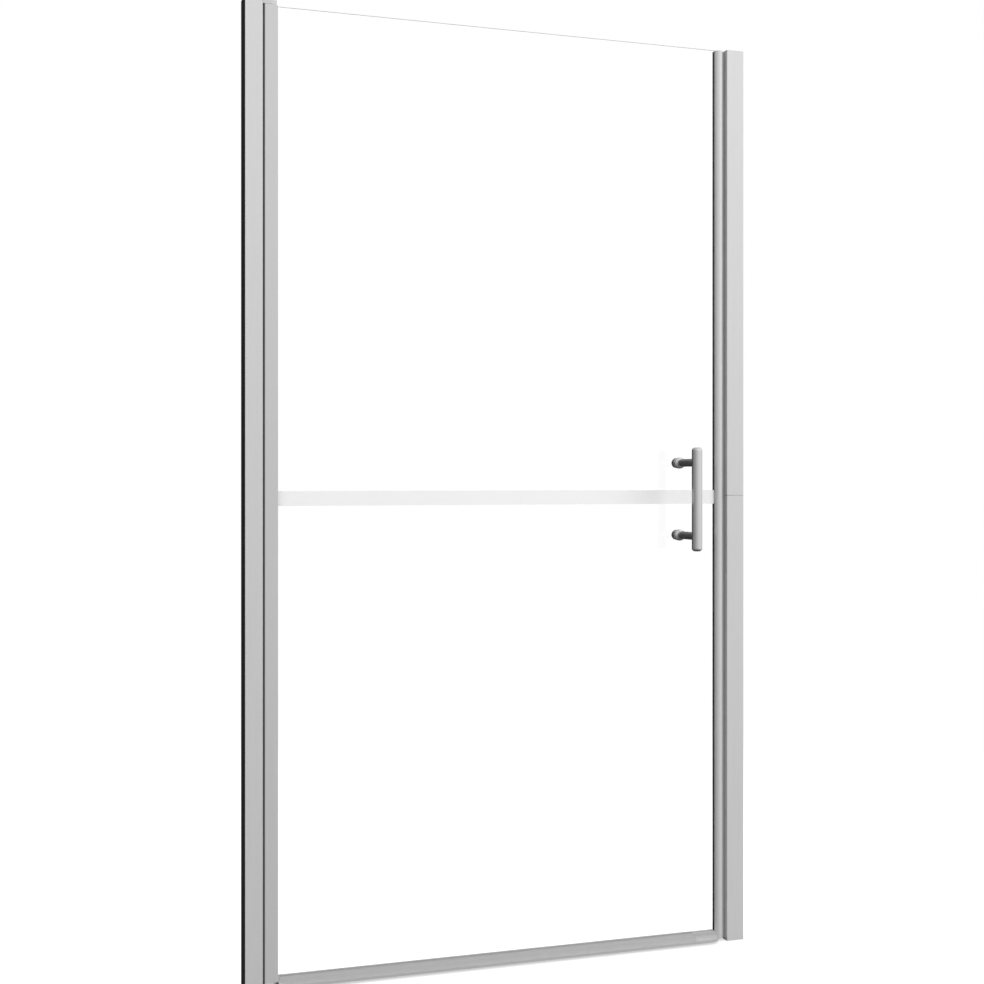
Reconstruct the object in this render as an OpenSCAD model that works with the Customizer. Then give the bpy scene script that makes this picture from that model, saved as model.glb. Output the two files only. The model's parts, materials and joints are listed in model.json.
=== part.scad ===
// Framed glass shower door for a recess. One glass leaf turns on two pivots
// beside the hinge wall and closes on a magnetic strip at the other wall.
// X runs from the hinge wall to the strike wall, Y runs into the shower and
// Z runs up from the shower tray. The origin is the foot of the hinge wall
// face, in the middle of the depth of the posts. Everything is in millimetres.

/* [Recess and heights] */
// Clear width between the two walls
opening_w = 1000; // [900:5:1200]
// Height of the hinge post over the tray
post_h = 1780; // [1500:10:2000]
// How much lower the strike post and the glass end
strike_drop = 10; // [8:1:16]
// Thickness of the foam gasket against each wall
wall_gasket_t = 2.5; // [1.5:0.5:4]
// Depth of the foam gasket at the hinge wall
hinge_gasket_d = 28; // [22:0.5:28]
// Depth of the foam gasket at the strike wall, which is set back out of sight
strike_gasket_d = 18; // [14:0.5:22]

/* [Post profiles] */
// Depth of both posts from front to back
post_d = 28; // [26:1:32]
// Wall of the aluminium profiles
profile_wall = 1.4; // [1.2:0.1:1.6]
// Clearance of a profile that slides in another
slide_fit = 0.1; // [0.05:0.05:0.2]
// Rounding of the outer edges of the profiles
edge_r = 0.6; // [0.4:0.1:1.2]
// Width of the wall channels
channel_w = 20.4; // [18:0.2:24]
// Width of the jamb that shows beside its channel
jamb_show_w = 11.8; // [9:0.2:16]
// Length of the jamb that is inside its channel
jamb_bite = 13.9; // [12:0.1:15]
// Distance of the jamb's cross web from its inner end
jamb_web_set = 8; // [7:0.2:9]
// Width of the strike post
strike_w = 36; // [34:1:44]
// Gap at the seam between the two strike lengths
seam_gap = 0.6; // [0.2:0.1:0.8]

/* [Hinge stile and pivots] */
// Gap between the jamb and the stile
stile_gap = 3.7; // [3.5:0.1:5]
// Width of the stile
stile_w = 24; // [23:0.5:28]
// Rounding of the corners of the stile and the jamb
stile_r = 0.8; // [0.6:0.1:2.4]
// Gap between the open stile's front and the jamb
swing_gap = 0.8; // [0.5:0.1:1.2]
// Running gap of the hinge seal in the jamb's hollow
seal_gap = 0.4; // [0.3:0.05:0.6]
// Wall of the hollow hinge seal
seal_wall = 1.2; // [1:0.1:1.4]
// Diameter of the pivot pins
pin_d = 7; // [6:0.5:7.5]
// Radial running clearance of a pin in its bush
pin_fit = 0.05; // [0.02:0.01:0.08]
// Length of a pin inside the stile
pin_bite = 35; // [20:1:50]
// Wall of the pivot bushes
bush_wall = 2; // [1.5:0.1:2.5]
// Thickness of the bush flanges that carry the door
bush_flange_t = 1.2; // [0.8:0.1:1.5]
// How far a bush flange stands out of the recess in its block
flange_proud = 0.3; // [0.2:0.1:0.6]
// Vertical running gap at each bush flange
lift_gap = 0.1; // [0.05:0.05:0.3]
// Height of the bottom pivot block
bottom_block_h = 10; // [9:0.5:14]
// Height of the top pivot block
top_block_h = 7; // [6:0.5:12]
// Length of the tongues that hold the blocks in the jamb
tongue_l = 30; // [20:1:40]
// Thickness of the caps on the posts
cap_t = 2; // [1.5:0.5:3]
// Thickness of the flanges of the stile's end plugs
plug_flange_t = 2; // [1.5:0.5:5]

/* [Glass] */
// Thickness of the toughened glass
glass_t = 5; // [4:0.5:6]
// Depth of the glass pocket in the stile
stile_pocket = 8; // [6:0.5:9]
// Gap between the edge of the glass and the bottom of a pocket
glass_set = 0.8; // [0.5:0.1:1.2]
// Thickness of the glazing gaskets beside the glass
glazing_t = 1.5; // [1:0.1:1.8]
// Glass that stands over the top of the closing profile
glass_over = 1.5; // [0.5:0.5:3]
// Height of the frosted band
band_h = 27; // [15:1:60]
// Height of the middle of the frosted band over the tray
band_z = 882; // [700:1:1000]
// Thickness of the frosted film
band_t = 0.3; // [0.2:0.05:0.4]

/* [Closing side] */
// Diameter of the round closing profile
closing_d = 21; // [19:0.5:23]
// Gap between the closing profile and the strike post
closing_gap = 2.8; // [2.4:0.1:3.6]
// Depth of the glass slot past the profile's left edge
closing_pocket = 9.5; // [7:0.5:9.5]
// How far the rear glazing lip shows beside the profile
rear_lip = 1.3; // [0.5:0.1:2]
// Width of the magnetic strips
magnet_w = 8; // [6:0.5:9]
// How far the strike's strip stands proud of its face
strike_magnet_proud = 0.4; // [0.2:0.1:0.6]
// Gap between the two magnetic strips
magnet_gap = 0.4; // [0.3:0.1:0.8]
// Thickness of each magnetic strip
magnet_t = 2.4; // [2:0.1:3]
// Gap under the closing profile
closing_lift = 4; // [3:0.5:8]
// Thickness of the closing profile's end plugs
closing_plug_t = 1.5; // [1:0.5:3]

/* [Bottom rail] */
// Depth of the rail's upright part
rail_d = 16; // [15:0.5:18]
// Height of the rail's top over the tray
rail_top = 20; // [18:0.5:26]
// Height of the rail's underside over the tray
rail_lift = 2.2; // [2:0.1:3]
// Height of the drip ledge's front edge over the tray
ledge_z = 10; // [8:0.5:11]
// Rise of the drip ledge from its front edge to the upright part
ledge_rise = 3.4; // [2:0.1:5]
// Height of the drip ledge's underside over the tray
ledge_lift = 4.2; // [2:0.1:4.5]
// How far the drip ledge reaches in front of the glass middle
ledge_reach = 27; // [22:1:30]
// Wall of the rail
rail_wall = 1.6; // [1.3:0.1:1.8]
// Gap between the rail and the stile
rail_gap = 0.5; // [0.3:0.1:1]
// Length of the rail's end cap beside the stile
rail_cap_hinge_l = 3.6; // [2:0.1:8]
// Length of the rail's end cap on the closing side
rail_cap_strike_l = 47; // [40:1:60]
// How far the ledge runs on in front of the closing profile
ledge_run_on = 4.5; // [4:0.5:9]
// Rounding of the ledge's free corner, seen from above
ledge_r = 18; // [8:1:20]
// Gap between the wiper and the tray
wiper_lift = 0.4; // [0.3:0.1:1]
// Thickness of a wiper blade
wiper_t = 0.8; // [0.6:0.1:1]

/* [Handle] */
// Distance of the handle from the door's closing edge
handle_in = 98.5; // [80:0.5:140]
// Height of the middle of the handle over the tray
handle_z = 878; // [780:1:1000]
// Length of the handle bar
bar_l = 200; // [180:5:240]
// Diameter of the handle bar
bar_d = 20; // [16:0.5:22]
// Wall of the handle tube
bar_wall = 1.2; // [1:0.1:2]
// Rounding of the ends of the bar
bar_end_r = 6; // [3:0.5:7]
// Distance between the two handle posts
handle_pitch = 142; // [120:1:160]
// Distance from the middle of the glass to the bar's axis
handle_reach = 79; // [60:1:90]
// Diameter of the handle posts
handle_post_d = 15; // [12:0.5:16]
// Diameter of the rosettes against the glass
rosette_d = 22; // [18:0.5:26]
// Thickness of the straight edge of a rosette
rosette_t = 2.5; // [1.5:0.5:4]
// Length of a rosette's taper towards its post
rosette_taper = 2.5; // [1.5:0.5:4]
// Thickness of the clear washers on the glass
washer_t = 0.5; // [0.3:0.1:1]
// Diameter of the holes in the glass
glass_hole_d = 12; // [10:0.5:13]
// Diameter of the threaded studs
stud_d = 8; // [6:0.5:8]
// Diameter of the knobs inside the shower
knob_d = 20; // [16:0.5:24]
// Length of the knobs inside the shower
knob_l = 18; // [16:0.5:24]
// Height of the dome on a knob
knob_dome = 7; // [4:0.5:8]

/* [Screws] */
// Diameter of the wall screw holes
wall_hole_d = 5.5; // [5:0.1:6.5]
// Distance of the outer wall screws from the post's ends
wall_hole_end = 90; // [60:5:120]
// Distance between the two inner wall screws
wall_hole_inner = 534; // [300:2:700]
// Distance of the outer locking screws from the post's ends
lock_end = 150; // [130:5:250]
// Distance of the middle locking screws below the seam of the strike post
lock_mid_drop = 55; // [50:5:150]
// Shank diameter of the locking screws
lock_d = 4; // [3:0.5:4.5]
// Head diameter of the locking screws
lock_head_d = 8; // [7:0.5:9]
// Head height of the locking screws
lock_head_h = 2.2; // [1.5:0.1:2.5]
// Length of the block screws inside the pivot blocks
block_screw_bite = 6; // [4:0.5:8]
// Length of the spigot that joins the two strike lengths
spigot_l = 60; // [40:5:100]

/* [Hidden] */
// Facets of a preview circle
$fn = 64;
// Small overshoot that keeps cuts clean
eps = 1;
// Fit of plugs, tongues and seals in their pockets
plug_fit = 0.1;

// Hinge post, from the wall outwards
channel_x0 = wall_gasket_t;
channel_x1 = channel_x0 + channel_w;
jamb_x0 = channel_x1 - jamb_bite;
jamb_x1 = channel_x1 + jamb_show_w;
jamb_d = post_d - 2 * (profile_wall + slide_fit);
jamb_in = jamb_d / 2 - profile_wall;
post_in = post_d / 2 - profile_wall;
jamb_web_x = jamb_x0 + jamb_web_set;
jamb_lock_x = (jamb_x0 + jamb_web_x) / 2;

// Stile and pivot axis
stile_x0 = jamb_x1 + stile_gap;
stile_x1 = stile_x0 + stile_w;
stile_d = jamb_d;
stile_in = stile_d / 2 - profile_wall;
pivot_x = jamb_x1 + stile_d / 2 + swing_gap;
pivot_in = pivot_x - stile_x0;
sweep_r = norm([pivot_in - stile_r, stile_d / 2 - stile_r]) + stile_r;
hollow_r = sweep_r + seal_gap;
jamb_end_x = min(jamb_x1, pivot_x - hollow_r) - profile_wall;
seal_half = stile_d / 2 - stile_r;
nose_r = stile_d / 2;
nose_cx = stile_x1 - plug_fit - nose_r;

// Seal groove in the stile's left wall
groove_mouth = 1.5;
groove_foot = 3;
groove_wall = 1.2;
groove_back = 3 * groove_wall;

// Pocket and chamber of the stile
pocket_x0 = stile_x1 - stile_pocket;
chamber_x1 = pocket_x0 - profile_wall;
pocket_in = glass_t / 2 + glazing_t;

// Heights at the hinge side
post_top = post_h - cap_t;
top_block_z = post_top - top_block_h;
stile_z0 = bottom_block_h + flange_proud + lift_gap;
stile_z1 = top_block_z - flange_proud - lift_gap;
bush_r = pin_d / 2 + pin_fit + bush_wall;
bush_flange_r = bush_r + bush_wall;
flange_sunk = bush_flange_t - flange_proud;

// Strike post
strike_x1 = opening_w - wall_gasket_t;
strike_x0 = strike_x1 - strike_w;
strike_h = post_h - strike_drop;
strike_top = strike_h - cap_t;
strike_seam = strike_h / 2;
strike_channel_d = post_d - 2 * (profile_wall + slide_fit);
strike_lock_x = strike_x1 - channel_w / 2;
magnet_pocket = magnet_t - strike_magnet_proud;
magnet_boss = magnet_pocket + profile_wall;

// Closing profile and its magnet
closing_r = closing_d / 2;
closing_cx = strike_x0 - closing_gap - closing_r;
closing_x0 = closing_cx - closing_r;
closing_mouth_x = closing_cx - sqrt(closing_r * closing_r - pocket_in * pocket_in);
slot_x1 = closing_x0 + closing_pocket;
door_magnet_x1 = strike_x0 - strike_magnet_proud - magnet_gap;
door_magnet_x0 = door_magnet_x1 - 2 * magnet_t;

// Glass
glass_x0 = pocket_x0 + glass_set;
glass_x1 = slot_x1 - glass_set;
glass_z0 = stile_z0 + glass_set;
glass_z1 = strike_h;
closing_z1 = glass_z1 - glass_over;

// Bottom rail
rail_in = rail_d / 2 - rail_wall;
rail_x0 = stile_x1 + rail_gap;
rail_x1 = closing_x0 - rail_gap;
rail_body_x0 = rail_x0 + rail_cap_hinge_l;
rail_body_x1 = rail_x1 - rail_cap_strike_l;
rail_floor = glass_z0 - glass_set;
ledge_x1 = closing_x0 + ledge_run_on;
rail_mouth = 1.5;
ledge_m = ledge_rise / (ledge_reach - rail_d / 2);
ledge_n = norm([1, ledge_m]);

// Handle
handle_x = strike_x0 - handle_in;
handle_zs = [handle_z - handle_pitch / 2, handle_z + handle_pitch / 2];
glass_face = glass_t / 2;
rosette_y = glass_face + washer_t;
stud_front = 20;
stud_back = 12;

// Screws
wall_hole_zs = [
    wall_hole_end,
    (strike_h - wall_hole_inner) / 2,
    (strike_h + wall_hole_inner) / 2,
    strike_h - wall_hole_end
];
lock_zs = [lock_end, strike_seam - lock_mid_drop, strike_h - lock_end];
block_screw_x = channel_x1 + lock_head_d / 2 + 3 * plug_fit;
block_screw_zs = [bottom_block_h + tongue_l / 2, top_block_z - tongue_l / 2];

// Rectangle between two corners
module rect(x0, x1, y0, y1) {
    translate([x0, y0]) square([x1 - x0, y1 - y0]);
}

// Rectangle with four rounded corners
module soft_rect(x0, x1, y0, y1, r) {
    rect(x0 + r, x1 - r, y0, y1);
    rect(x0, x1, y0 + r, y1 - r);
    for (x = [x0 + r, x1 - r], y = [y0 + r, y1 - r]) translate([x, y]) circle(r);
}

// Plan with two rounded corners at its left and a half-round nose at its right
module nosed_plan(x0, cx, d, r) {
    rect(x0 + r, cx, -d / 2, d / 2);
    rect(x0, cx, r - d / 2, d / 2 - r);
    for (y = [r - d / 2, d / 2 - r]) translate([x0 + r, y]) circle(r);
    translate([cx, 0]) circle(d / 2);
}

// Outline drawn from above, raised from one height to another
module upright(z0, z1) {
    translate([0, 0, z0]) linear_extrude(z1 - z0) children();
}

// Outline drawn from the side (depth, height), run from one X to another
module lengthways(x0, x1) {
    translate([x0, 0, 0]) rotate([90, 0, 90]) linear_extrude(x1 - x0) children();
}

// Outline of radius against distance, turned about an axis that points along Y
module turned_along_y(x, z) {
    translate([x, 0, z]) rotate([-90, 0, 0]) rotate_extrude() children();
}

// Round hole or shank along X
module along_x(x0, x1, y, z, d) {
    translate([x0, y, z]) rotate([0, 90, 0]) cylinder(d = d, h = x1 - x0);
}

// Round hole or shank along Y
module along_y(x, y0, y1, z, d) {
    translate([x, y0, z]) rotate([-90, 0, 0]) cylinder(d = d, h = y1 - y0);
}

// Wall screw holes through a web at the given place
module wall_holes(x0, x1, d) {
    for (z = wall_hole_zs) along_x(x0 - eps, x1 + eps, 0, z, d);
}

// Pan head screw that enters from behind
module rear_screw(x, z, depth, seat_y) {
    along_y(x, seat_y - depth, seat_y, z, lock_d);
    along_y(x, seat_y, seat_y + lock_head_h, z, lock_head_d);
}

// Foam strip between a profile and the wall, with clearance holes
module wall_gasket(x0, x1, d, h) {
    difference() {
        upright(0, h) rect(x0, x1, -d / 2, d / 2);
        wall_holes(x0, x1, wall_hole_d + 1);
    }
}

module hinge_wall_gasket() {
    color("black") wall_gasket(0, channel_x0, hinge_gasket_d, post_top);
}

module strike_wall_gasket() {
    color("black") wall_gasket(strike_x1, opening_w, strike_gasket_d, strike_top);
}

// Channel screwed to the hinge wall, open towards the door
module hinge_wall_channel() {
    color("silver") difference() {
        upright(0, post_top) difference() {
            soft_rect(channel_x0, channel_x1 + 2 * edge_r, -post_d / 2, post_d / 2, edge_r);
            rect(channel_x0 + profile_wall, channel_x1 + 3 * edge_r, -post_in, post_in);
            rect(channel_x1, channel_x1 + 3 * edge_r, -post_d, post_d);
        }
        wall_holes(channel_x0, channel_x0 + profile_wall, wall_hole_d);
        for (z = lock_zs) along_y(jamb_lock_x, post_in - eps, post_d, z, lock_d);
    }
}

// Jamb that slides in the channel, with a hollow for the turning seal
module hinge_jamb() {
    color("silver") difference() {
        upright(0, post_top) difference() {
            soft_rect(jamb_x0, jamb_x1, -jamb_d / 2, jamb_d / 2, stile_r);
            rect(jamb_x0 - eps, jamb_web_x, -jamb_in, jamb_in);
            rect(jamb_web_x + profile_wall, jamb_end_x, -jamb_in, jamb_in);
            translate([pivot_x, 0]) circle(hollow_r);
        }
        upright(-eps, bottom_block_h + plug_fit)
            rect(jamb_end_x - eps, stile_x0, -jamb_in, jamb_in);
        upright(top_block_z - plug_fit, post_h)
            rect(jamb_end_x - eps, stile_x0, -jamb_in, jamb_in);
        for (z = lock_zs) along_y(jamb_lock_x, 0, post_d, z, lock_d);
        for (z = block_screw_zs) along_y(block_screw_x, 0, post_d, z, lock_d);
    }
}

module jamb_lock_screws() {
    color("lightgrey")
        for (z = lock_zs) rear_screw(jamb_lock_x, z, 2 * profile_wall + slide_fit + eps, post_d / 2);
}

module pivot_block_screws() {
    color("lightgrey")
        for (z = block_screw_zs) rear_screw(block_screw_x, z, profile_wall + block_screw_bite, jamb_d / 2);
}

// Plate that closes the top of the channel, the jamb and the pivot block
module hinge_top_cap() {
    color("silver") upright(post_top, post_h) {
        soft_rect(channel_x0, channel_x1, -post_d / 2, post_d / 2, edge_r);
        nosed_plan(channel_x1 - 2 * edge_r, nose_cx, jamb_d, edge_r);
    }
}

// Block at one end of the jamb. Its head reaches over the stile, its tongue
// fills the jamb, its bore holds the bush and a recess takes the bush flange.
module pivot_block(head_z0, head_z1, tongue_z0, tongue_z1, recess_z0, recess_z1, screw_z) {
    difference() {
        union() {
            upright(head_z0, head_z1) {
                nosed_plan(jamb_x1 + plug_fit, nose_cx, stile_d, edge_r);
                rect(
                    jamb_web_x + profile_wall + plug_fit, jamb_x1 + 2 * edge_r,
                    plug_fit - jamb_in, jamb_in - plug_fit
                );
            }
            upright(tongue_z0, tongue_z1) rect(
                jamb_web_x + profile_wall + plug_fit, jamb_end_x - plug_fit,
                plug_fit - jamb_in, jamb_in - plug_fit
            );
        }
        upright(head_z0 - eps, head_z1 + eps) translate([pivot_x, 0]) circle(bush_r);
        upright(recess_z0, recess_z1)
            translate([pivot_x, 0]) circle(bush_flange_r + plug_fit);
        along_y(block_screw_x, jamb_in - block_screw_bite, post_d, screw_z, lock_d);
    }
}

module top_pivot_block() {
    color("gainsboro") pivot_block(
        top_block_z, post_top,
        top_block_z - tongue_l, top_block_z,
        top_block_z - eps, top_block_z + flange_sunk, block_screw_zs[1]
    );
}

module bottom_pivot_block() {
    color("gainsboro") pivot_block(
        0, bottom_block_h,
        bottom_block_h, bottom_block_h + tongue_l,
        bottom_block_h - flange_sunk, bottom_block_h + eps, block_screw_zs[0]
    );
}

// Flanged bush, with its flange on the side of the stile
module pivot_bush(z0, z1, flange_z0, flange_z1) {
    difference() {
        union() {
            upright(z0, z1) translate([pivot_x, 0]) circle(bush_r);
            upright(flange_z0, flange_z1) translate([pivot_x, 0]) circle(bush_flange_r);
        }
        upright(min(z0, flange_z0) - eps, max(z1, flange_z1) + eps)
            translate([pivot_x, 0]) circle(pin_d / 2 + pin_fit);
    }
}

module top_pivot_bush() {
    color("white") pivot_bush(
        top_block_z, post_top,
        top_block_z - flange_proud, top_block_z + flange_sunk
    );
}

module bottom_pivot_bush() {
    color("white") pivot_bush(
        0, bottom_block_h,
        bottom_block_h - flange_sunk, bottom_block_h + flange_proud
    );
}

// Channel screwed to the strike wall, hidden inside the strike profile
module strike_wall_channel() {
    color("silver") difference() {
        upright(0, strike_top) difference() {
            rect(
                strike_x1 - channel_w, strike_x1,
                -strike_channel_d / 2, strike_channel_d / 2
            );
            rect(
                strike_x1 - channel_w - eps, strike_x1 - profile_wall,
                profile_wall - strike_channel_d / 2, strike_channel_d / 2 - profile_wall
            );
        }
        wall_holes(strike_x1 - profile_wall, strike_x1, wall_hole_d);
        for (z = lock_zs) along_y(strike_lock_x, 0, post_d, z, lock_d);
    }
}

// Outline of the strike profile: open to the wall, with a pocket for the strip
module strike_outline() {
    difference() {
        soft_rect(strike_x0, strike_x1 + 2 * edge_r, -post_d / 2, post_d / 2, edge_r);
        rect(strike_x1, strike_x1 + 3 * edge_r, -post_d, post_d);
        difference() {
            rect(strike_x0 + profile_wall, strike_x1 + eps, -post_in, post_in);
            rect(
                strike_x0, strike_x0 + magnet_boss,
                -magnet_w / 2 - profile_wall, magnet_w / 2 + profile_wall
            );
        }
        rect(
            strike_x0 - eps, strike_x0 + magnet_pocket,
            -magnet_w / 2 - plug_fit, magnet_w / 2 + plug_fit
        );
    }
}

// One length of the strike profile between two heights
module strike_length(z0, z1) {
    difference() {
        upright(z0, z1) strike_outline();
        for (z = lock_zs) along_y(strike_lock_x, 0, post_d, z, lock_d);
    }
}

module strike_profile_lower() {
    color("silver") strike_length(0, strike_seam - seam_gap / 2);
}

module strike_profile_upper() {
    color("silver") strike_length(strike_seam + seam_gap / 2, strike_top);
}

// Hollow spigot that lines up the two lengths at their seam
module strike_joint_spigot() {
    color("dimgrey") upright(strike_seam - spigot_l / 2, strike_seam + spigot_l / 2) difference() {
        rect(
            strike_x0 + magnet_boss + plug_fit, strike_x1 - channel_w - plug_fit,
            plug_fit - post_in, post_in - plug_fit
        );
        rect(
            strike_x0 + magnet_boss + plug_fit + 2 * profile_wall,
            strike_x1 - channel_w - plug_fit - 2 * profile_wall,
            plug_fit + 2 * profile_wall - post_in, post_in - plug_fit - 2 * profile_wall
        );
    }
}

module strike_magnet_strip() {
    color("dimgrey") upright(0, strike_top) rect(
        strike_x0 - strike_magnet_proud, strike_x0 + magnet_pocket,
        -magnet_w / 2, magnet_w / 2
    );
}

module strike_lock_screws() {
    color("lightgrey")
        for (z = lock_zs)
            rear_screw(strike_lock_x, z, 2 * profile_wall + slide_fit + eps, post_d / 2);
}

module strike_top_cap() {
    color("silver") upright(strike_top, strike_h)
        soft_rect(strike_x0, strike_x1, -post_d / 2, post_d / 2, edge_r);
}

// Outline of the hinge stile: seal groove, pin chamber, glass pocket and two
// side chambers
module stile_outline() {
    difference() {
        soft_rect(stile_x0, stile_x1, -stile_d / 2, stile_d / 2, stile_r);
        rect(stile_x0 - eps, stile_x0 + groove_wall + eps / 2, -groove_mouth, groove_mouth);
        rect(stile_x0 + groove_wall, stile_x0 + 2 * groove_wall, -groove_foot, groove_foot);
        rect(stile_x0 + groove_back, chamber_x1, -stile_in, stile_in);
        for (s = [-1, 1]) {
            translate([0, s * (groove_foot + groove_wall + stile_in) / 2]) rect(
                stile_x0 + profile_wall, stile_x0 + groove_back + eps,
                -(stile_in - groove_foot - groove_wall) / 2,
                (stile_in - groove_foot - groove_wall) / 2
            );
            translate([0, s * (pocket_in + profile_wall + stile_in) / 2]) rect(
                pocket_x0, stile_x1 - profile_wall,
                -(stile_in - pocket_in - profile_wall) / 2,
                (stile_in - pocket_in - profile_wall) / 2
            );
        }
        rect(pocket_x0, stile_x1 + eps, -pocket_in, pocket_in);
    }
}

module hinge_stile() {
    color("silver")
        upright(stile_z0 + plug_flange_t, stile_z1 - plug_flange_t) stile_outline();
}

// End plug of the stile: a flange with a half-round nose that leaves the
// glass free, and a body in the chamber that holds the pin
module stile_plug(flange_z0, flange_z1, body_z0, body_z1) {
    difference() {
        union() {
            upright(flange_z0, flange_z1) difference() {
                nosed_plan(stile_x0, nose_cx, stile_d, stile_r);
                rect(pocket_x0, stile_x1 + eps, -glass_face - plug_fit, glass_face + plug_fit);
            }
            upright(body_z0, body_z1) rect(
                stile_x0 + groove_back + plug_fit, chamber_x1 - plug_fit,
                plug_fit - stile_in, stile_in - plug_fit
            );
        }
        upright(min(flange_z0, body_z0) - eps, max(flange_z1, body_z1) + eps)
            translate([pivot_x, 0]) circle(pin_d / 2);
    }
}

module stile_plug_top() {
    color("grey") stile_plug(
        stile_z1 - plug_flange_t, stile_z1,
        stile_z1 - pin_bite, stile_z1 - plug_flange_t
    );
}

module stile_plug_bottom() {
    color("grey") stile_plug(
        stile_z0, stile_z0 + plug_flange_t,
        stile_z0 + plug_flange_t, stile_z0 + pin_bite
    );
}

module pivot_pin_top() {
    color("lightgrey") upright(stile_z1 - pin_bite, post_top - plug_fit)
        translate([pivot_x, 0]) circle(d = pin_d);
}

module pivot_pin_bottom() {
    color("lightgrey") upright(plug_fit, stile_z0 + pin_bite)
        translate([pivot_x, 0]) circle(d = pin_d);
}

// Hollow seal on the stile's left face. Its outer face is an arc about the
// pivot, so that it keeps the same gap to the jamb while the door turns.
module hinge_seal() {
    color("black") upright(stile_z0 + plug_flange_t, stile_z1 - plug_flange_t) {
        difference() {
            intersection() {
                translate([pivot_x, 0]) circle(sweep_r);
                rect(pivot_x - sweep_r - eps, stile_x0, -seal_half, seal_half);
            }
            intersection() {
                translate([pivot_x, 0]) circle(sweep_r - seal_wall);
                rect(
                    pivot_x - sweep_r, stile_x0 - seal_wall,
                    seal_wall - seal_half, seal_half - seal_wall
                );
            }
        }
        rect(
            stile_x0 - seal_wall / 2, stile_x0 + groove_wall + plug_fit,
            plug_fit - groove_mouth, groove_mouth - plug_fit
        );
        rect(
            stile_x0 + groove_wall + plug_fit, stile_x0 + 2 * groove_wall - plug_fit,
            plug_fit - groove_foot, groove_foot - plug_fit
        );
    }
}

// U-shaped glazing gasket around the edge of the glass in the stile
module stile_glazing_gasket() {
    color("dimgrey") upright(stile_z0 + plug_flange_t, stile_z1 - plug_flange_t) difference() {
        rect(pocket_x0, stile_x1 - plug_fit, -pocket_in, pocket_in);
        rect(glass_x0, stile_x1 + eps, -glass_face, glass_face);
    }
}

module glass_panel() {
    color("lightcyan", 0.35) difference() {
        translate([glass_x0, -glass_face, glass_z0])
            cube([glass_x1 - glass_x0, glass_t, glass_z1 - glass_z0]);
        for (z = handle_zs)
            along_y(handle_x, -glass_t, glass_t, z, glass_hole_d);
    }
}

module frosted_band() {
    color("white") translate([stile_x1 + plug_fit, -glass_face - band_t, band_z - band_h / 2])
        cube([closing_mouth_x - stile_x1 - 2 * plug_fit, band_t, band_h]);
}

// Outline of the round closing profile: glass slot, hollow core, two side
// chambers and a pocket for the magnetic strip
module closing_outline() {
    difference() {
        translate([closing_cx, 0]) circle(closing_r);
        rect(closing_x0 - eps, slot_x1, -pocket_in, pocket_in);
        rect(
            door_magnet_x0 - plug_fit, strike_x0,
            -magnet_w / 2 - plug_fit, magnet_w / 2 + plug_fit
        );
        rect(
            slot_x1 + profile_wall, door_magnet_x0 - plug_fit - profile_wall,
            -pocket_in, pocket_in
        );
        difference() {
            translate([closing_cx, 0]) circle(closing_r - profile_wall);
            rect(
                closing_x0, strike_x0,
                -max(pocket_in, magnet_w / 2 + plug_fit) - profile_wall,
                max(pocket_in, magnet_w / 2 + plug_fit) + profile_wall
            );
        }
    }
}

module closing_profile() {
    color("silver")
        upright(closing_lift + closing_plug_t, closing_z1 - closing_plug_t) closing_outline();
}

// Gasket around the closing edge of the glass. Its rear leg shows through the
// glass beside the profile.
module closing_glazing_gasket() {
    color("black") upright(rail_top, closing_z1 - closing_plug_t) difference() {
        union() {
            rect(closing_mouth_x + plug_fit, slot_x1, -pocket_in, pocket_in);
            rect(closing_mouth_x - rear_lip, slot_x1, 0, pocket_in);
        }
        rect(closing_x0 - rear_lip - eps, glass_x1, -glass_face, glass_face);
    }
}

module door_magnet_strip() {
    color("dimgrey") upright(closing_lift + closing_plug_t, closing_z1 - closing_plug_t) rect(
        door_magnet_x0, door_magnet_x1, -magnet_w / 2, magnet_w / 2
    );
}

// Round end plate of the closing profile
module closing_plug(z0, z1) {
    upright(z0, z1) difference() {
        translate([closing_cx, 0]) circle(closing_r);
        rect(closing_x0 - eps, glass_x1 + plug_fit, -glass_face - plug_fit, glass_face + plug_fit);
    }
}

module closing_plug_top() {
    color("grey") closing_plug(closing_z1 - closing_plug_t, closing_z1);
}

module closing_plug_bottom() {
    color("grey") closing_plug(closing_lift, closing_lift + closing_plug_t);
}

// Height of the drip ledge at a given depth
function ledge_top(y) = ledge_z + ledge_m * (y + ledge_reach);

// Outer side view of the rail: the upright part and the drip ledge in front,
// with a rounded front edge
module rail_solid_side() {
    edge = [edge_r - ledge_reach, ledge_z + edge_r * (ledge_m - ledge_n)];
    rect(-rail_d / 2, rail_d / 2, rail_lift, rail_top);
    translate(edge) circle(edge_r);
    polygon([
        [-ledge_reach, ledge_lift],
        [-rail_in, ledge_lift],
        [-rail_in, ledge_top(-rail_in)],
        edge + edge_r / ledge_n * [-ledge_m, 1],
        edge,
        [-ledge_reach, edge[1]]
    ]);
}

// Pocket for the bottom edge of the glass, with a lip on each side of its mouth
module rail_pocket() {
    rect(-rail_in, rail_in, rail_floor, rail_top - rail_wall);
    rect(-pocket_in, pocket_in, rail_top - rail_wall - eps, rail_top + eps);
}

// Groove for the wiper, wider inside than at its mouth
module wiper_groove() {
    rect(-rail_mouth, rail_mouth, rail_lift - eps, rail_lift + rail_wall + eps);
    rect(-2 * rail_mouth, 2 * rail_mouth, rail_lift + rail_wall, rail_lift + 2 * rail_wall);
}

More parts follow.
